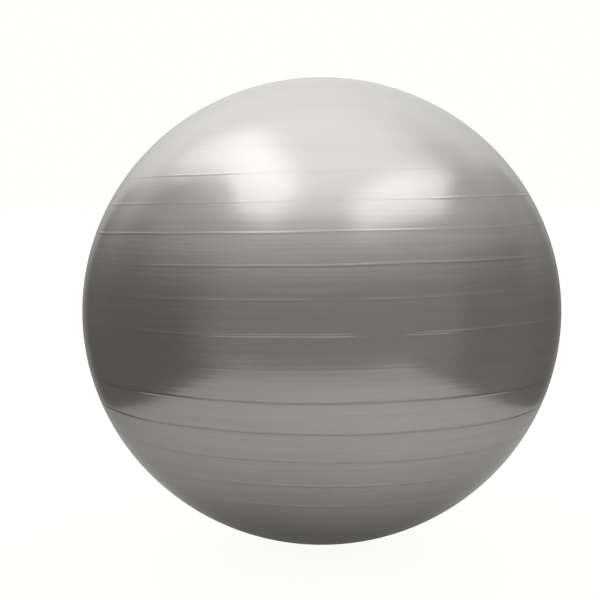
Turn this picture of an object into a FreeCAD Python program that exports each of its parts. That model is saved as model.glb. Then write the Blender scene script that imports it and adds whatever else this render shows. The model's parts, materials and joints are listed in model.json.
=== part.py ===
import FreeCAD, Part
import math
import os

# Inflated exercise ball, resting on the floor with its smooth pole up. Millimetres and degrees.
# The origin is the middle of the small round patch that the ball's weight flattens on the floor, and
# +Z points up through the top pole. The valve is on the +Y side.

# Skin
BALL_DIAMETER = 650.0        # across the equator, pumped up to size
HEIGHT_TO_WIDTH = 0.976      # the pumped skin is a little wider than it is tall
WALL = 0.9                   # skin thickness between the ribs
PATCH_RADIUS = 40.0          # weight of the skin over a low air pressure flattens this much

# Ribs: raised rings at even steps of latitude, one of them on the equator
RIB_STEP = 7.2
RIBS_ABOVE_EQUATOR = 6
RIB_WIDTH = 4.6
RIB_HEIGHT = 0.9

# Valve seat: a soft insert fused into the skin, with a neck that points into the ball
VALVE_LATITUDE = 1.5 * RIB_STEP
BOSS_RADIUS = 14.0           # the insert's face, flush with the skin
FLANGE_RADIUS = 17.0         # laps the inside of the skin
FLANGE_DEPTH = 3.4           # from the skin's outside to the flange's inner face
RECESS_RADIUS = 10.2         # leaves room for a fingernail around the plug's head
RECESS_DEPTH = 2.0
NECK_DEPTH = 24.0
NECK_ROOT_RADIUS = 8.0
NECK_TIP_RADIUS = 6.8
NECK_FILLET = 2.0
BORE_RADIUS = 4.5
BORE_CHAMFER = 0.6

# Air plug: a round head on a stem with sealing rings
HEAD_RADIUS = 8.5
HEAD_THICKNESS = 1.8
HEAD_LIFT = 0.1              # between the head and the floor of the recess
HEAD_EDGE = 0.5              # rounding of the head's top edge
HEAD_UNDERCUT = 0.7          # bevel under the rim, where the plug is prised up
DISH_RADIUS = 5.0
DISH_DEPTH = 0.35
STEM_DEPTH = 28.0            # from the skin's outside to the stem's tip
STEM_CORE_RADIUS = 3.7
RING_RADIUS = BORE_RADIUS - 0.08
RING_COUNT = 5
RING_STEP = 3.9
RING_LENGTH = 1.6
TIP_RADIUS = 2.4
TIP_TAPER = 3.0

HALF_WIDTH = BALL_DIAMETER / 2
HALF_HEIGHT = HALF_WIDTH * HEIGHT_TO_WIDTH
CENTRE_HEIGHT = HALF_HEIGHT * math.sqrt(1 - (PATCH_RADIUS / HALF_WIDTH) ** 2)
CAP_LATITUDE = math.radians(75)
TOP_LATITUDE = math.radians(90)
UP = FreeCAD.Vector(0, 0, 1)
ORIGIN = FreeCAD.Vector(0, 0, 0)


def in_section(radius, height):
    """A point of the half-section that is turned about Z."""
    return FreeCAD.Vector(radius, 0, height)


def skin_point(latitude, inset=0.0):
    """The point of the smooth skin at a latitude, on the section that holds +X."""
    return in_section(
        (HALF_WIDTH - inset) * math.cos(latitude),
        CENTRE_HEIGHT + (HALF_HEIGHT - inset) * math.sin(latitude),
    )


def skin_normal(latitude):
    """The outward direction of the smooth skin at a latitude."""
    across = math.cos(latitude) / HALF_WIDTH
    upward = math.sin(latitude) / HALF_HEIGHT
    return in_section(across, upward).normalize()


def skin_arc(from_latitude, to_latitude, inset=0.0):
    """The stretch of the skin between two latitudes, as an arc of an ellipse."""
    centre = in_section(0, CENTRE_HEIGHT)
    side = in_section(HALF_WIDTH - inset, CENTRE_HEIGHT)
    top = in_section(0, CENTRE_HEIGHT + HALF_HEIGHT - inset)
    ellipse = Part.Ellipse(side, top, centre)
    return Part.ArcOfEllipse(ellipse, from_latitude, to_latitude).toShape()


def polar_arc(inset=0.0):
    """The last stretch up to the top pole, as an arc centred on Z, so that it turns into a true dome."""
    rim = skin_point(CAP_LATITUDE, inset)
    top = skin_point(TOP_LATITUDE, inset)
    drop = top.z - rim.z
    radius = (rim.x ** 2 + drop ** 2) / (2 * drop)
    half_turn = math.asin(rim.x / radius) / 2
    sink = radius * (1 - math.cos(half_turn))
    middle = in_section(radius * math.sin(half_turn), top.z - sink)
    return Part.Arc(rim, middle, top).toShape()


def line(start, end):
    return Part.LineSegment(start, end).toShape()


def turned(edges):
    """The solid that a closed outline makes when it is turned about Z."""
    face = Part.Face(Part.Wire(edges))
    return face.revolve(ORIGIN, UP, 360)


def chain(points):
    """Straight edges through the points."""
    return [line(a, b) for a, b in zip(points, points[1:])]


def rib_edges(latitude, half_angle):
    """A rib's outline: a round crest between two hollow feet that run out into the skin."""
    foot_low = skin_point(latitude - half_angle)
    foot_high = skin_point(latitude + half_angle)
    outward = skin_normal(latitude)
    along = (foot_high - foot_low).normalize()
    crest = skin_point(latitude) + outward * RIB_HEIGHT

    quarter = RIB_WIDTH / 4
    radius = ((2 * quarter) ** 2 + RIB_HEIGHT ** 2) / (4 * RIB_HEIGHT)
    half_turn = math.asin(quarter / radius) / 2
    run = along * (radius * math.sin(half_turn))
    rise = outward * (radius * (1 - math.cos(half_turn)))

    bend_low = (foot_low + crest) * 0.5
    bend_high = (foot_high + crest) * 0.5
    return [
        Part.Arc(foot_low, foot_low + run + rise, bend_low).toShape(),
        Part.Arc(bend_low, crest, bend_high).toShape(),
        Part.Arc(bend_high, foot_high - run + rise, foot_high).toShape(),
    ]


def outer_solid():
    """Everything inside the ribbed outside of the skin."""
    step = math.radians(RIB_STEP)
    half_angle = RIB_WIDTH / 2 / HALF_WIDTH
    latitude = -math.acos(PATCH_RADIUS / HALF_WIDTH)
    edges = [line(ORIGIN, skin_point(latitude))]
    for number in range(-RIBS_ABOVE_EQUATOR, RIBS_ABOVE_EQUATOR + 1):
        edges.append(skin_arc(latitude, number * step - half_angle))
        edges += rib_edges(number * step, half_angle)
        latitude = number * step + half_angle
    edges.append(skin_arc(latitude, CAP_LATITUDE))
    edges.append(polar_arc())
    edges.append(line(skin_point(TOP_LATITUDE), ORIGIN))
    return turned(edges)


def air_space():
    """The space inside the skin, flat where the ball stands on the floor."""
    latitude = -math.asin((CENTRE_HEIGHT - WALL) / (HALF_HEIGHT - WALL))
    floor = in_section(0, WALL)
    return turned([
        line(floor, skin_point(latitude, WALL)),
        skin_arc(latitude, CAP_LATITUDE, WALL),
        polar_arc(WALL),
        line(skin_point(TOP_LATITUDE, WALL), floor),
    ])


def at_valve(shape):
    """Moves a shape made about Z, with the skin's outside at height 0, to its place at the valve."""
    latitude = math.radians(VALVE_LATITUDE)
    quarter_turn = FreeCAD.Rotation(UP, 90)
    place = quarter_turn.multVec(skin_point(latitude))
    outward = quarter_turn.multVec(skin_normal(latitude))
    moved = shape.copy()
    moved.Placement = FreeCAD.Placement(place, FreeCAD.Rotation(UP, outward))
    return moved


def make_ball_shell(outside, inside):
    """The skin, with a round hole for the valve seat."""
    hole = Part.makeCylinder(BOSS_RADIUS, 4 * WALL, FreeCAD.Vector(0, 0, -3 * WALL))
    return outside.cut(inside).cut(at_valve(hole))


def make_valve_seat(outside, ball_shell):
    """The insert: its face follows the skin's outside and its flange follows the skin's inside."""
    proud = WALL
    fillet_top = in_section(NECK_ROOT_RADIUS + NECK_FILLET, -FLANGE_DEPTH)
    fillet_foot = in_section(NECK_ROOT_RADIUS, -FLANGE_DEPTH - NECK_FILLET)
    inward = NECK_FILLET * (1 - math.sqrt(0.5))
    fillet_middle = in_section(NECK_ROOT_RADIUS + inward, -FLANGE_DEPTH - inward)
    before_fillet = chain([
        in_section(BORE_RADIUS, -NECK_DEPTH),
        in_section(NECK_TIP_RADIUS, -NECK_DEPTH),
        fillet_foot,
    ])
    after_fillet = chain([
        fillet_top,
        in_section(FLANGE_RADIUS, -FLANGE_DEPTH),
        in_section(FLANGE_RADIUS, 0),
        in_section(BOSS_RADIUS, 0),
        in_section(BOSS_RADIUS, proud),
        in_section(RECESS_RADIUS, proud),
        in_section(RECESS_RADIUS, -RECESS_DEPTH),
        in_section(BORE_RADIUS + BORE_CHAMFER, -RECESS_DEPTH),
        in_section(BORE_RADIUS, -RECESS_DEPTH - BORE_CHAMFER),
        in_section(BORE_RADIUS, -NECK_DEPTH),
    ])
    fillet = Part.Arc(fillet_foot, fillet_middle, fillet_top).toShape()
    blank = at_valve(turned(before_fillet + [fillet] + after_fillet))
    return blank.common(outside).cut(ball_shell)


def make_air_plug():
    """The stopper: dished head, then a stem with rings that fill the bore, then a tapered tip."""
    underside = HEAD_LIFT - RECESS_DEPTH
    top = underside + HEAD_THICKNESS
    edge_inward = HEAD_EDGE * (1 - math.sqrt(0.5))
    head_edge = Part.Arc(
        in_section(HEAD_RADIUS - HEAD_EDGE, top),
        in_section(HEAD_RADIUS - edge_inward, top - edge_inward),
        in_section(HEAD_RADIUS, top - HEAD_EDGE),
    ).toShape()
    dish = Part.Arc(
        in_section(0, top - DISH_DEPTH),
        in_section(DISH_RADIUS / 2, top - 0.75 * DISH_DEPTH),
        in_section(DISH_RADIUS, top),
    ).toShape()

    stem = [
        in_section(HEAD_RADIUS, top - HEAD_EDGE),
        in_section(HEAD_RADIUS, underside + HEAD_UNDERCUT / 2),
        in_section(HEAD_RADIUS - HEAD_UNDERCUT, underside),
        in_section(STEM_CORE_RADIUS, underside),
    ]
    ring_slope = RING_RADIUS - STEM_CORE_RADIUS
    for number in range(RING_COUNT):
        ring_top = underside - (number + 0.5) * RING_STEP
        stem += [
            in_section(STEM_CORE_RADIUS, ring_top),
            in_section(RING_RADIUS, ring_top - ring_slope / 2),
            in_section(RING_RADIUS, ring_top - RING_LENGTH + ring_slope),
            in_section(STEM_CORE_RADIUS, ring_top - RING_LENGTH),
        ]
    stem += [
        in_section(STEM_CORE_RADIUS, TIP_TAPER - STEM_DEPTH),
        in_section(TIP_RADIUS, -STEM_DEPTH),
        in_section(0, -STEM_DEPTH),
        in_section(0, top - DISH_DEPTH),
    ]
    face = line(in_section(DISH_RADIUS, top), in_section(HEAD_RADIUS - HEAD_EDGE, top))
    return at_valve(turned([dish, face, head_edge] + chain(stem)))


def main():
    outside = outer_solid()
    ball_shell = make_ball_shell(outside, air_space())
    parts = {
        "ball_shell": ball_shell,
        "valve_seat": make_valve_seat(outside, ball_shell),
        "air_plug": make_air_plug(),
    }
    os.makedirs("parts", exist_ok=True)
    for name, shape in parts.items():
        shape.exportStep(f"parts/{name}.step")


main()
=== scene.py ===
import json
import math

import bpy
import numpy as np
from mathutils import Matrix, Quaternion, Vector


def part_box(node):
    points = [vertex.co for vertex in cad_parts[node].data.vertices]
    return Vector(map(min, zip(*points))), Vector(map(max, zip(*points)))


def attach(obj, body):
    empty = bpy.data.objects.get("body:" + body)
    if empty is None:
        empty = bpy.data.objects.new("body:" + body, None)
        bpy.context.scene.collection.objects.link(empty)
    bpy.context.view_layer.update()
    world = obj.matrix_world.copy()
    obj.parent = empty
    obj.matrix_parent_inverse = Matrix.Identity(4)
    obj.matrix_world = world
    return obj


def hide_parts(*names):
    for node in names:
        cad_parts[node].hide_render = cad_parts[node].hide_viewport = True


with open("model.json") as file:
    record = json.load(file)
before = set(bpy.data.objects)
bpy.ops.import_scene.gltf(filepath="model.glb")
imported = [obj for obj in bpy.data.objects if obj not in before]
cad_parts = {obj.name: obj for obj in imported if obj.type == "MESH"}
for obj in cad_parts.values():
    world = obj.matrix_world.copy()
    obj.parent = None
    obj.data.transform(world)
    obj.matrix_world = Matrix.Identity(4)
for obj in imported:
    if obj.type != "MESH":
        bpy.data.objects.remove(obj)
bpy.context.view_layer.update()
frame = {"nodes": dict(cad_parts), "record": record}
SHELL_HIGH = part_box("ball_shell")[1]
RECORD = frame["record"]

# Ball, in metres. Latitudes are the ellipse's own angle from the equator; azimuth 0 faces the camera (-Y)
# and grows towards +X.
CAD_RIB_HEIGHT = 0.0009      # the sides of the CAD box touch the crest of the CAD's middle rib
RIB_WIDTH = 0.0052           # with the soft run-out of its feet
RIB_STEP = math.radians(7.2)
RIBS_ABOVE_EQUATOR = 6
RIB_NUMBERS = range(-RIBS_ABOVE_EQUATOR, RIBS_ABOVE_EQUATOR + 1)
WALL = 0.0009
PATCH_RADIUS = 0.040         # the flat patch that the ball stands on
HALF_WIDTH = SHELL_HIGH.x - CAD_RIB_HEIGHT
HEIGHT_TO_WIDTH = 0.976
HALF_HEIGHT = HALF_WIDTH * HEIGHT_TO_WIDTH
CENTRE_HEIGHT = SHELL_HIGH.z - HALF_HEIGHT
HOLE_RADIUS = 0.0140         # in the skin, filled by the valve seat

# How the pumped skin departs from a true form
# Ribs from the lowest to the highest: height over the stretched skin in millimetres, the azimuth in degrees
# where the rib is lowest, as it also is on the opposite side, and how much painted shade darkens its line.
# The middle one is the mould's parting line.
RIBS = (
    (0.42, 90, 0.00),
    (0.50, 90, 0.03),
    (0.42, 90, 0.09),
    (0.38, 90, 0.24),
    (0.26, 90, 0.25),
    (0.045, 90, 0.03),
    (0.58, -75, 0.03),
    (0.18, 80, 0.00),
    (0.20, 90, 0.00),
    (0.25, 30, 0.00),
    (0.22, -15, 0.02),
    (0.12, 60, 0.02),
    (0.05, 90, 0.02),
)
RIB_MEAN = 0.65              # a rib's usual share of its full height
RIB_SWING = 0.35             # how far that share falls and rises round the ball
# Gaps where a rib sinks into the skin: the rib's number from the equator, the gap's azimuth and half its
# width in degrees.
GAPS = ((0, 12, 6.5), (1, 3, 6), (4, -2, 6), (5, 16, 8), (6, 4, 20))
GAP_DEPTH = 0.9
BAND_BULGE = 0.00006         # between two ribs
RING_TILT = math.radians(0.85)
RING_WANDER = 0.0005
# Waves of a ring: their number round the ball, their phase, how the phase grows with latitude, and how many
# times smaller than the wander they are.
RING_WAVES = ((3, 0.4, 5.0, 1.0), (7, 2.1, 11.0, 1.6), (13, 4.4, 23.0, 2.4))
TRUE_AT_VALVE = 0.12         # radians each side of the back where the rings don't stray
TRUE_BLEND = 0.35
STRAY_END = math.radians(62)
STRAY_BLEND = math.radians(14)

# Mesh of the skin
COLUMNS = 360
RIB_CUTS = 5                 # rows on each side of a rib's crest
RIB_GUARD = 0.0007           # plain skin kept close beside each foot
BAND_ROWS = 4
CAP_ROWS = 18
TOP_ROW = math.radians(89)
INNER_COLUMNS = 90
INNER_ROWS = 40
INNER_SPAN = (math.radians(-82), math.radians(88))
HOLE_POINTS = 64
HOLE_MARGIN = 1.12           # quads nearer than this many hole radii give way to the hole

# Pigments and finishes
VINYL_DEEP = (0.336, 0.332, 0.318, 1)
VINYL_PALE = (0.350, 0.347, 0.335, 1)
VINYL_WARM = (0.360, 0.342, 0.329, 1)
RING_PALE = (0.40, 0.395, 0.38, 1)
LINE_DARK = (0.300, 0.296, 0.286, 1)
LINE_PALE = (0.400, 0.396, 0.386, 1)
FLAKE_PALE = (0.62, 0.62, 0.60, 1)
# Painted shade: the near black that the ribs' lines, mostly the lower ones, are tinted towards, standing in
# for the dark lines of their creases.
RIB_PAINTED_SHADE = (0.02, 0.02, 0.02, 1)
EDGE_GREY = (0.6, 0.6, 0.6, 1)
SEAT_DARK = (0.27, 0.27, 0.265, 1)
SEAT_PALE = (0.35, 0.35, 0.345, 1)
PLUG_CLEAN = (0.84, 0.84, 0.81, 1)
PLUG_HANDLED = (0.74, 0.73, 0.70, 1)
BLACK = (0, 0, 0, 1)
RING_STRETCH = (1.5, 1.5, 70.0)      # the mould's broad rings
LINE_STRETCH = (4.0, 4.0, 250.0)     # the mould's fine lines
LINES_FADE = (0.40, 0.49, 1.0, 0.15)  # between these heights, from full strength to faint

# Studio. A ramp is (from, to, level at the first, level at the second). It runs over how far up a direction
# points, from -1 straight down to 1 straight up.
FRONT_RAMP = (0.15, 0.65, 0.37, 0.95)
CEILING_RAMP = (0.60, 0.97, 0.0, 1.65)
BEHIND_RAMP = (0.0, 0.88, 1.20, 2.76)
BEHIND_FOOT = (-0.10, 0.34, 0.30, 1.0)
BEHIND_LEAN = -0.22          # the wall behind is brighter on the left
FRONT_END = 0.25             # how far back a direction points where the wall in front begins to give way
BEHIND_START = 0.75          # and where the wall behind has taken over
FILL = 0.08
DIM_LIGHT = (0.84, 0.80, 0.765, 1)
BRIGHT_LIGHT = (0.80, 0.80, 0.79, 1)
BRIGHT_LEVEL = 1.4
BACKDROP_COLOUR = (1.0, 1.0, 0.965, 1)
# Each side has a softbox, a dark flag that hides the foot of it, and a second flag further round. A panel is
# the softness of its edges and its corners: azimuth and elevation in degrees, and for some the softness of
# the edge that starts there. The ramps say how much light still comes through each flag.
LEFT_SIDE = {
    "box": (0.11, ((-134, 42), (-122, 36), (-98, 43), (-60, 46), (-28, 43), (-17, 64), (-138, 65))),
    "flag": (0.03, ((-58, -50, 0.26), (-55, 49), (-68, 55), (-88, 56.5), (-100, 52), (-111, 38),
                    (-120, -50))),
    "tail": (0.03, ((-95, -50), (-100, 41, 0.05), (-142, 21, 0.06), (-150, 3, 0.05), (-151, -50))),
    "strength": 1.25,
    "through_flag": (-0.1, 0.6, 0.26, 0.88),
    "through_tail": (0.10, 0.70, 0.33, 0.95),
}
RIGHT_SIDE = {
    "box": (0.11, ((20, 42, 0.07), (45, 41, 0.06), (80, 38), (122, 41), (120, 52), (60, 64), (17, 61))),
    "flag": (0.04, ((65, -50, 0.09), (67, 12, 0.07), (76, 38, 0.07), (92, 45, 0.05), (108, 45), (120, 38),
                    (121, -50))),
    "tail": (0.03, ((100, -50), (100, 43, 0.05), (142, 27, 0.04), (151, 9, 0.05), (154, -50))),
    "strength": 1.40,
    "through_flag": (-0.1, 0.66, 0.57, 1.0),
    "through_tail": (0.34, 0.70, 0.60, 1.0),
}

# Floor
FLOOR_REACH = 40
FLOOR_HEIGHT = -0.0006
FLOOR_COLOUR = (1.0, 1.0, 0.957, 1)
MIRRORED_LOW = (-0.62, -0.975)
MIRRORED_HIGH = (0.61, 1.15)
MIRRORED_HEIGHT = -0.0012
MIRRORED_COLOUR = (1.0, 1.0, 0.98, 1)
POOL_CENTRE = (0.10, -0.28, 0)
POOL_RADIUS = 1.25

# Camera
CAMERA_DISTANCE = 1.778
CAMERA_ELEVATION = math.radians(5.1)
CAMERA_ROLL = math.radians(-0.52)
CAMERA_LENS = 77.3
SENSOR_WIDTH = 36.0
AIM_RIGHT = -0.0290          # the ball sits a little right of and below the picture's middle
AIM_UP = 0.0147


def new_material(name):
    material = bpy.data.materials.new(name)
    material.use_nodes = True
    tree = material.node_tree
    return material, Nodes(tree), tree.nodes["Principled BSDF"]


class Nodes:
    """Short ways to add shader nodes to one tree."""

    def __init__(self, tree):
        self.tree = tree

    def add(self, kind, **settings):
        node = self.tree.nodes.new(kind)
        for name, value in settings.items():
            setattr(node, name, value)
        return node

    def link(self, source, target):
        self.tree.links.new(source, target)

    def put(self, socket, value):
        """Sets an input from a number or links it from another socket."""
        if isinstance(value, bpy.types.NodeSocket):
            self.link(value, socket)
        else:
            socket.default_value = value

    def place(self):
        """Where on the object a point is."""
        return self.add("ShaderNodeTexCoord").outputs["Object"]

    def split(self, vector):
        node = self.add("ShaderNodeSeparateXYZ")
        self.link(vector, node.inputs[0])
        return node.outputs

    def math(self, operation, *values):
        node = self.add("ShaderNodeMath", operation=operation)
        for socket, value in zip(node.inputs, values):
            self.put(socket, value)
        return node.outputs[0]

    def remap(self, value, low, high, to_low=0.0, to_high=1.0, smooth=True):
        kind = "SMOOTHSTEP" if smooth else "LINEAR"
        node = self.add("ShaderNodeMapRange", interpolation_type=kind)
        for socket, given in zip(node.inputs, (value, low, high, to_low, to_high)):
            self.put(socket, given)
        return node.outputs[0]

    def stretched(self, vector, scale):
        node = self.add("ShaderNodeMapping")
        self.link(vector, node.inputs["Vector"])
        node.inputs["Scale"].default_value = scale
        return node.outputs[0]

    def noise(self, vector, scale, detail=3.0, roughness=0.5):
        node = self.add("ShaderNodeTexNoise")
        self.link(vector, node.inputs["Vector"])
        node.inputs["Scale"].default_value = scale
        node.inputs["Detail"].default_value = detail
        node.inputs["Roughness"].default_value = roughness
        return node.outputs["Fac"]

    def tint(self, factor, first, second):
        node = self.add("ShaderNodeMix", data_type="RGBA")
        self.put(node.inputs[0], factor)
        self.put(node.inputs[6], first)
        self.put(node.inputs[7], second)
        return node.outputs[2]

    def bump(self, height, distance, below=None):
        node = self.add("ShaderNodeBump")
        self.link(height, node.inputs["Height"])
        node.inputs["Distance"].default_value = distance
        node.inputs["Strength"].default_value = 1.0
        if below is not None:
            self.link(below, node.inputs["Normal"])
        return node.outputs[0]


def metal_flakes(n, place):
    """A different level for each flake of the pigment."""
    flakes = n.add("ShaderNodeTexVoronoi")
    n.link(place, flakes.inputs["Vector"])
    flakes.inputs["Scale"].default_value = 2600.0
    return n.remap(flakes.outputs["Color"], 0.0, 1.0)


def pearl_vinyl():
    """Silver-grey vinyl with fine metallic pigment, drawn into faint rings by the mould."""
    material, n, shader = new_material("pearl_vinyl")
    place = n.place()

    rings = n.noise(n.stretched(place, RING_STRETCH), 1.0, 2.0)
    lines = n.noise(n.stretched(place, LINE_STRETCH), 1.0, 1.5)
    contrast = n.remap(n.split(place)["Z"], *LINES_FADE)
    lines = n.math("MULTIPLY_ADD", n.math("SUBTRACT", lines, 0.5), contrast, 0.5)
    broad = n.noise(place, 5.0, 3.0)
    clouds = n.noise(place, 16.0, 4.0)
    grain = n.noise(place, 1300.0, 1.0)
    painted_rib_mask = n.add("ShaderNodeAttribute", attribute_name="painted_rib_shade").outputs["Fac"]

    shade = n.tint(n.remap(broad, 0.3, 0.7), VINYL_DEEP, VINYL_PALE)
    shade = n.tint(n.remap(clouds, 0.35, 0.65, 0.0, 0.5), shade, VINYL_WARM)
    shade = n.tint(n.remap(rings, 0.35, 0.75, 0.0, 0.20), shade, RING_PALE)
    shade = n.tint(n.remap(lines, 0.45, 0.70, 0.0, 0.30), shade, LINE_DARK)
    shade = n.tint(n.remap(lines, 0.50, 0.28, 0.0, 0.30), shade, LINE_PALE)
    shade = n.tint(n.math("MULTIPLY", metal_flakes(n, place), 0.10), shade, FLAKE_PALE)
    # Painted shade: the ribs, mostly the lower ones, are tinted towards near black along their lines.
    n.link(n.tint(painted_rib_mask, shade, RIB_PAINTED_SHADE), shader.inputs["Base Color"])

    rough = n.math("ADD", n.remap(rings, 0.3, 0.7, 0.16, 0.19), n.remap(broad, 0.3, 0.7, 0.0, 0.03))
    n.link(n.math("ADD", rough, n.remap(lines, 0.3, 0.7, 0.0, 0.015)), shader.inputs["Roughness"])

    swell = n.bump(clouds, 0.00020)
    drawn = n.bump(lines, 0.000070, below=swell)
    n.link(n.bump(grain, 0.000010, below=drawn), shader.inputs["Normal"])

    shader.inputs["Metallic"].default_value = 0.80
    shader.inputs["Specular Tint"].default_value = EDGE_GREY
    shader.inputs["Coat Weight"].default_value = 0.15
    shader.inputs["Coat Roughness"].default_value = 0.12
    return material


def seat_vinyl():
    """The valve seat's vinyl: the same grey with less pigment and a duller surface."""
    material, n, shader = new_material("seat_vinyl")
    place = n.place()
    mottle = n.noise(place, 140.0, 4.0)
    grain = n.noise(place, 2200.0, 2.0)
    n.link(n.tint(mottle, SEAT_DARK, SEAT_PALE), shader.inputs["Base Color"])
    n.link(n.remap(grain, 0.3, 0.7, 0.36, 0.48), shader.inputs["Roughness"])
    n.link(n.bump(grain, 0.00003), shader.inputs["Normal"])
    shader.inputs["Metallic"].default_value = 0.55
    return material


def plug_plastic():
    """White semi-rigid plastic, lightly handled."""
    material, n, shader = new_material("plug_plastic")
    place = n.place()
    handled = n.noise(place, 90.0, 4.0, 0.6)
    grain = n.noise(place, 1500.0, 2.0)
    n.link(n.tint(n.remap(handled, 0.35, 0.75), PLUG_CLEAN, PLUG_HANDLED), shader.inputs["Base Color"])
    n.link(n.remap(handled, 0.3, 0.7, 0.32, 0.46), shader.inputs["Roughness"])
    n.link(n.bump(grain, 0.00002), shader.inputs["Normal"])
    shader.inputs["Subsurface Weight"].default_value = 0.15
    shader.inputs["Subsurface Scale"].default_value = 0.002
    return material


def wander(latitude, azimuth):
    """How far a ring's latitude strays at each azimuth. It dies out towards the valve and the poles."""
    tilt = RING_TILT * np.sin(2.5 * latitude) * np.sin(azimuth)
    waves = sum(
        np.sin(turns * azimuth + phase + stagger * latitude) / weight
        for turns, phase, stagger, weight in RING_WAVES
    )
    strayed = tilt + RING_WANDER / HALF_WIDTH * waves
    from_back = np.abs(np.mod(azimuth, 2 * math.pi) - math.pi)
    still = np.clip((from_back - TRUE_AT_VALVE) / TRUE_BLEND, 0, 1)
    near_middle = np.clip((STRAY_END - np.abs(latitude)) / STRAY_BLEND, 0, 1)
    return strayed * still * still * (3 - 2 * still) * near_middle


def rib_profile(latitude, number):
    """1 on a rib's crest, falling smoothly to 0 at its feet."""
    across = (latitude - number * RIB_STEP) * HALF_WIDTH / (RIB_WIDTH / 2)
    return np.cos(np.clip(across, -1, 1) * math.pi / 2) ** 2


def turn_from(azimuth, middle):
    """Signed angle to an azimuth from another, given in degrees."""
    return np.mod(azimuth - math.radians(middle) + math.pi, 2 * math.pi) - math.pi


def rib_rise(latitude, azimuth, number):
    """Height of a rib over the smooth skin, uneven along its length."""
    height, lull, _ = RIBS[number + RIBS_ABOVE_EQUATOR]
    long_ripple = 0.10 * np.sin(17 * azimuth + 2.9 * number)
    short_ripple = 0.08 * np.sin(29 * azimuth + 1.3 * number)
    uneven = RIB_MEAN - RIB_SWING * np.cos(2 * turn_from(azimuth, lull))
    uneven = uneven * (1 + long_ripple + short_ripple)
    for rib, middle, half_width in GAPS:
        if rib == number:
            away = turn_from(azimuth, middle) / math.radians(half_width)
            uneven = uneven * (1 - GAP_DEPTH * np.exp(-away ** 2))
    return height / 1000 * uneven * rib_profile(latitude, number)


def painted_rib_shade(latitude):
    """How much painted shade darkens the ribs, at each latitude."""
    return sum(rib_profile(latitude, k) * RIBS[k + RIBS_ABOVE_EQUATOR][2] for k in RIB_NUMBERS)


def band_bulge(latitude):
    """The skin swells slightly between two ribs and is smooth beyond the last ones."""
    share = np.mod(latitude / RIB_STEP, 1)
    inside = np.abs(latitude) < RIBS_ABOVE_EQUATOR * RIB_STEP
    return np.where(inside, BAND_BULGE * 4 * share * (1 - share), 0)


def on_skin(latitude, azimuth, rise=0.0):
    """Points of the skin, raised along its normal, and never under the floor."""
    across = np.cos(latitude) / HALF_WIDTH
    upward = np.sin(latitude) / HALF_HEIGHT
    length = np.sqrt(across ** 2 + upward ** 2)
    radius = HALF_WIDTH * np.cos(latitude) + rise * across / length
    height = CENTRE_HEIGHT + HALF_HEIGHT * np.sin(latitude) + rise * upward / length
    return np.stack([radius * np.sin(azimuth), -radius * np.cos(azimuth), np.maximum(height, 0)], -1)


def row_latitudes():
    """Latitudes of the mesh rows: close together over the ribs and wide apart between them."""
    foot = RIB_WIDTH / 2 / HALF_WIDTH
    guard = foot + RIB_GUARD / HALF_WIDTH
    lowest = -math.acos(PATCH_RADIUS / HALF_WIDTH)
    last = RIBS_ABOVE_EQUATOR * RIB_STEP
    rows = list(np.linspace(lowest, -last - guard, CAP_ROWS))
    for number in RIB_NUMBERS:
        centre = number * RIB_STEP
        rows += list(centre + np.linspace(-foot, foot, 2 * RIB_CUTS + 1))
        if number < RIBS_ABOVE_EQUATOR:
            rows += list(np.linspace(centre + guard, centre + RIB_STEP - guard, BAND_ROWS + 1))
    rows += list(np.linspace(last + guard, TOP_ROW, CAP_ROWS))
    return np.array(rows)


def valve_frame():
    """The valve's place and outward direction, from the record's mount."""
    mount = next(m for m in RECORD["mounts"] if m["name"] == "valve_port")
    return np.array(mount["pos_m"]), np.array(mount["axis"])


def drop_to_skin(start, outward, inset):
    """Where the line through start along the valve's axis meets the smooth skin, or its inside."""
    squeeze = 1.0 / np.array([HALF_WIDTH - inset, HALF_WIDTH - inset, HALF_HEIGHT - inset])
    base = (start - np.array([0, 0, CENTRE_HEIGHT])) * squeeze
    run = outward * squeeze
    a, b, c = run @ run, 2 * base @ run, base @ base - 1
    return start + outward * ((-b + math.sqrt(b * b - 4 * a * c)) / (2 * a))


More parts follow.
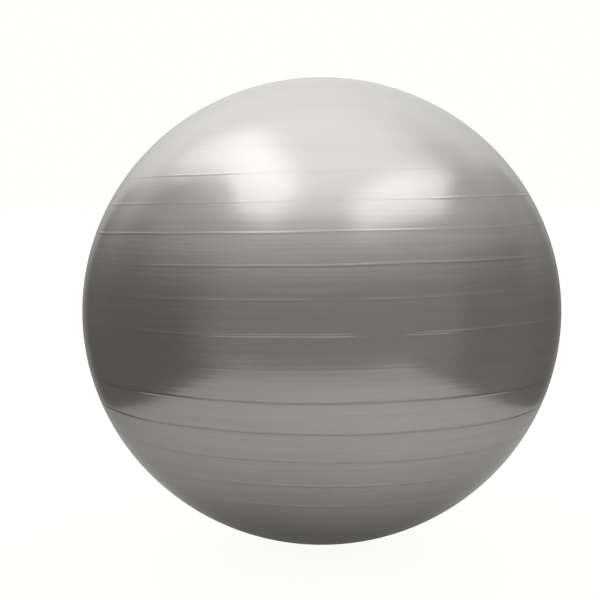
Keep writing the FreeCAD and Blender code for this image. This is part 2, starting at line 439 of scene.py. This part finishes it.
class ShellMesh:
    """Collects the points and faces of the skin's two sides, its hole and its poles."""

    def __init__(self):
        self.points = []
        self.faces = []
        self.valve_place, self.outward = valve_frame()
        self.side = np.array([1.0, 0.0, 0.0])
        self.downward = np.cross(self.outward, self.side)

    def add(self, points):
        first = len(self.points)
        self.points += [tuple(p) for p in np.reshape(points, (-1, 3))]
        return np.arange(first, len(self.points))

    def polar(self, index):
        """Angle and distance of a point about the valve's axis."""
        offset = np.array(self.points[index]) - self.valve_place
        across, down = offset @ self.side, offset @ self.downward
        return math.atan2(down, across), math.hypot(across, down)

    def face(self, corners, inside):
        self.faces.append(tuple(reversed(corners)) if inside else tuple(corners))

    def grid(self, points, inside):
        """Quads over rows and columns that close on themselves, leaving out those over the valve.

        Returns the points' numbers, and those on the edge of what was left out in the order of their angles.
        """
        rows, columns = points.shape[:2]
        index = self.add(points).reshape(rows, columns)
        rim = set()
        reach = HOLE_RADIUS * HOLE_MARGIN
        for r in range(rows - 1):
            for c in range(columns):
                d = (c + 1) % columns
                corners = [index[r, c], index[r, d], index[r + 1, d], index[r + 1, c]]
                if points[r, c, 1] > 0 and any(self.polar(i)[1] < reach for i in corners):
                    for a, b in zip(corners, corners[1:] + corners[:1]):
                        if (b, a) in rim:
                            rim.remove((b, a))
                        else:
                            rim.add((a, b))
                else:
                    self.face(corners, inside)
        return index, sorted({i for edge in rim for i in edge}, key=lambda i: self.polar(i)[0])

    def circle(self, inset):
        """A ring of points on the hole's edge, lying on the skin's outside or inside."""
        made = []
        for angle in np.linspace(-math.pi, math.pi, HOLE_POINTS, endpoint=False):
            spoke = math.cos(angle) * self.side + math.sin(angle) * self.downward
            start = self.valve_place + HOLE_RADIUS * spoke
            made.append(drop_to_skin(start, self.outward, inset))
        return list(self.add(made))

    def zip_rings(self, wide, narrow, inside):
        """Triangles between two rings about the valve, taken in the order of their angles."""
        wide_at = [self.polar(i)[0] for i in wide] + [self.polar(wide[0])[0] + 2 * math.pi]
        narrow_at = [self.polar(i)[0] for i in narrow] + [self.polar(narrow[0])[0] + 2 * math.pi]
        w = s = 0
        while w < len(wide) or s < len(narrow):
            take_wide = s == len(narrow) or (w < len(wide) and wide_at[w + 1] <= narrow_at[s + 1])
            a, b = wide[w % len(wide)], narrow[s % len(narrow)]
            if take_wide:
                self.face([a, wide[(w + 1) % len(wide)], b], inside)
                w += 1
            else:
                self.face([a, narrow[(s + 1) % len(narrow)], b], inside)
                s += 1

    def close_poles(self, index, inset, inside):
        top = self.add([0, 0, SHELL_HIGH.z - inset])[0]
        bottom = self.add([0, 0, inset])[0]
        columns = index.shape[1]
        for c in range(columns):
            d = (c + 1) % columns
            self.face([index[-1, c], index[-1, d], top], inside)
            self.face([index[0, d], index[0, c], bottom], inside)

    def close_hole(self, outer, inner):
        """The cut edge of the skin, round the hole."""
        for c in range(len(outer)):
            d = (c + 1) % len(outer)
            self.face([outer[c], outer[d], inner[d], inner[c]], False)


def skin_grid(inside):
    """Points of the skin's outside with its ribs, or of its plain inside."""
    rows = np.linspace(*INNER_SPAN, INNER_ROWS) if inside else row_latitudes()
    columns = INNER_COLUMNS if inside else COLUMNS
    turns = np.arange(columns) * 2 * math.pi / columns
    latitude, azimuth = np.meshgrid(rows, turns, indexing="ij")
    if inside:
        points = on_skin(latitude, azimuth, -WALL)
        points[..., 2] = np.maximum(points[..., 2], WALL)
        return points
    rise = band_bulge(latitude)
    for number in RIB_NUMBERS:
        rise = rise + rib_rise(latitude, azimuth, number)
    return on_skin(latitude + wander(latitude, azimuth), azimuth, rise)


def store_painted_rib_shade(mesh):
    """Keeps on each point how much painted shade darkens it, for the vinyl to read. The outside's rows come
    first.
    """
    shades = np.zeros(len(mesh.vertices))
    rows = np.repeat(painted_rib_shade(row_latitudes()), COLUMNS)
    shades[:len(rows)] = rows
    attribute = mesh.attributes.new("painted_rib_shade", "FLOAT", "POINT")
    attribute.data.foreach_set("value", shades)


def skin_mesh():
    shell = ShellMesh()
    circles = []
    for inside, inset in ((False, 0.0), (True, WALL)):
        index, rim = shell.grid(skin_grid(inside), inside)
        circles.append(shell.circle(inset))
        shell.zip_rings(rim, circles[-1], inside)
        shell.close_poles(index, inset, inside)
    outer, inner = circles
    shell.close_hole(outer, inner)

    mesh = bpy.data.meshes.new("ball_skin")
    mesh.from_pydata(shell.points, [], shell.faces)
    store_painted_rib_shade(mesh)
    mesh.validate()
    mesh.shade_smooth()
    hole_points = set(outer + inner)
    for edge in mesh.edges:
        edge.use_edge_sharp = hole_points.issuperset(edge.vertices)
    return mesh


def make_ball_skin():
    piece = bpy.data.objects.new("ball_skin", skin_mesh())
    bpy.context.scene.collection.objects.link(piece)
    piece.data.materials.append(pearl_vinyl())
    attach(piece, "ball")
    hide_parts("ball_shell")


def dress_cad_nodes():
    """Gives the CAD pieces that stay in view their materials."""
    for node, material in (("valve_seat", seat_vinyl()), ("air_plug", plug_plastic())):
        for slot in frame["nodes"][node].material_slots:
            slot.material = material


def direction(azimuth, elevation):
    """A unit vector: azimuth 0 points at the camera's side, 90 at +X; both in degrees."""
    a, e = math.radians(azimuth), math.radians(elevation)
    return Vector((math.sin(a) * math.cos(e), -math.cos(a) * math.cos(e), math.sin(e)))


def panel(n, ray, softness, corners):
    """1 where a ray meets a flat panel whose corners lie in these directions, with soft edges."""
    points = [direction(*corner[:2]) for corner in corners]
    middle = sum(points, Vector((0, 0, 0)))
    inside = None
    for corner, first, second in zip(corners, points, points[1:] + points[:1]):
        across = first.cross(second).normalized()
        if across.dot(middle) < 0:
            across = -across
        dot = n.add("ShaderNodeVectorMath", operation="DOT_PRODUCT")
        n.link(ray, dot.inputs[0])
        dot.inputs[1].default_value = across
        soft = corner[2] if len(corner) > 2 else softness
        side = n.remap(dot.outputs["Value"], -soft, soft)
        inside = side if inside is None else n.math("MULTIPLY", inside, side)
    return inside


def bare_room(n, side, back, up):
    """The walls and ceiling: the wall in front of the ball is darker than the one behind it."""
    front = n.math("ADD", n.remap(up, *FRONT_RAMP), n.remap(up, *CEILING_RAMP))
    behind = n.math("MULTIPLY", n.remap(up, *BEHIND_RAMP), n.remap(up, *BEHIND_FOOT))
    behind = n.math("MULTIPLY", behind, n.math("MULTIPLY_ADD", side, BEHIND_LEAN, 1.0))
    in_front = n.math("MULTIPLY", front, n.remap(back, BEHIND_START, FRONT_END))
    at_back = n.math("MULTIPLY", behind, n.remap(back, FRONT_END, BEHIND_START))
    return n.math("ADD", in_front, at_back)


def add_side(n, ray, up, room, parts):
    """Adds one side's softbox and flags to the room's light. The first flag hides the second."""
    box, flag, tail = (panel(n, ray, *parts[name]) for name in ("box", "flag", "tail"))
    through_tail = n.remap(up, *parts["through_tail"])
    through_flag = n.remap(up, *parts["through_flag"])
    kept = n.remap(tail, 0.0, 1.0, 1.0, through_tail, smooth=False)
    kept = n.remap(flag, 0.0, 1.0, kept, through_flag, smooth=False)
    uncovered = n.math("SUBTRACT", 1.0, n.math("MAXIMUM", flag, tail))
    shown = n.math("MULTIPLY", box, uncovered)
    return n.math("MULTIPLY_ADD", shown, parts["strength"], n.math("MULTIPLY", room, kept))


def make_world():
    """A pale studio: bright overhead and behind, two softboxes, and dark flags on each side."""
    world = bpy.data.worlds.new("studio")
    bpy.context.scene.world = world
    world.use_nodes = True
    world.node_tree.nodes.clear()
    n = Nodes(world.node_tree)
    ray = n.add("ShaderNodeTexCoord").outputs["Generated"]
    side, back, up = n.split(ray)

    room = bare_room(n, side, back, up)
    for parts in (LEFT_SIDE, RIGHT_SIDE):
        room = add_side(n, ray, up, room, parts)
    room = n.math("ADD", room, FILL)

    seen = n.add("ShaderNodeBackground")
    seen.inputs["Color"].default_value = BACKDROP_COLOUR
    lighting = n.add("ShaderNodeBackground")
    n.link(room, lighting.inputs["Strength"])
    n.link(n.tint(n.remap(room, 0.0, BRIGHT_LEVEL), DIM_LIGHT, BRIGHT_LIGHT), lighting.inputs["Color"])
    mix = n.add("ShaderNodeMixShader")
    n.link(n.add("ShaderNodeLightPath").outputs["Is Camera Ray"], mix.inputs[0])
    n.link(lighting.outputs[0], mix.inputs[1])
    n.link(seen.outputs[0], mix.inputs[2])
    n.link(mix.outputs[0], n.add("ShaderNodeOutputWorld").inputs["Surface"])


def flat_sheet(name, low, high, height, material):
    mesh = bpy.data.meshes.new(name)
    outline = (low[0], low[1]), (high[0], low[1]), (high[0], high[1]), (low[0], high[1])
    mesh.from_pydata([(x, y, height) for x, y in outline], [], [(0, 1, 2, 3)])
    sheet = bpy.data.objects.new(name, mesh)
    bpy.context.scene.collection.objects.link(sheet)
    mesh.materials.append(material)
    return sheet


def paper(name, near_level, fade, glow, colour):
    """Matt white paper with a painted pool of light: its colour darkens with distance from the pool's
    middle, and it glows by the given amount.
    """
    material, n, shader = new_material(name)
    place = n.place()
    away = n.add("ShaderNodeVectorMath", operation="DISTANCE")
    n.link(place, away.inputs[0])
    away.inputs[1].default_value = POOL_CENTRE
    fine = n.noise(place, 300.0, 3.0)
    pool = n.remap(away.outputs["Value"], 0.0, POOL_RADIUS, near_level, near_level - fade, smooth=False)
    level = n.math("ADD", pool, n.remap(fine, 0.3, 0.7, -0.01, 0.01))
    n.link(n.tint(level, BLACK, colour), shader.inputs["Base Color"])
    n.link(n.remap(fine, 0.3, 0.7, 0.7, 0.8), shader.inputs["Roughness"])
    shader.inputs["Specular IOR Level"].default_value = 0.1
    shader.inputs["Emission Color"].default_value = colour
    shader.inputs["Emission Strength"].default_value = glow
    return material


def make_floor():
    """A wide pale floor for the eye, and the white paper under the ball that the ball mirrors."""
    pale = paper("pale_floor", near_level=0.035, fade=0.0, glow=0.96, colour=FLOOR_COLOUR)
    wide = flat_sheet("floor", (-FLOOR_REACH, -FLOOR_REACH), (FLOOR_REACH, FLOOR_REACH), FLOOR_HEIGHT, pale)
    wide.visible_glossy = False
    wide.visible_diffuse = False
    wide.visible_shadow = False
    # The mirrored paper's small glow is painted light, standing in for light bounced onto it close under the
    # ball.
    shaded = paper("shaded_paper", near_level=0.61, fade=0.46, glow=0.12, colour=MIRRORED_COLOUR)
    mirrored = flat_sheet("mirrored_paper", MIRRORED_LOW, MIRRORED_HIGH, MIRRORED_HEIGHT, shaded)
    mirrored.visible_camera = False
    mirrored.visible_shadow = False


def make_camera():
    camera = bpy.data.cameras.new("camera")
    camera.lens = CAMERA_LENS
    camera.sensor_width = SENSOR_WIDTH
    eye = bpy.data.objects.new("camera", camera)
    bpy.context.scene.collection.objects.link(eye)
    middle = Vector((0, 0, CENTRE_HEIGHT))
    back = Vector((0, -math.cos(CAMERA_ELEVATION), math.sin(CAMERA_ELEVATION)))
    right = Vector((1, 0, 0))
    up = back.cross(right)
    eye.location = middle + back * CAMERA_DISTANCE
    target = middle + right * AIM_RIGHT + up * AIM_UP
    eye.rotation_mode = "QUATERNION"
    look = (target - eye.location).to_track_quat("-Z", "Y")
    eye.rotation_quaternion = look @ Quaternion((0, 0, 1), CAMERA_ROLL)
    bpy.context.scene.camera = eye


bpy.context.scene.view_settings.view_transform = "Standard"
make_ball_skin()
dress_cad_nodes()
make_world()
make_floor()
make_camera()
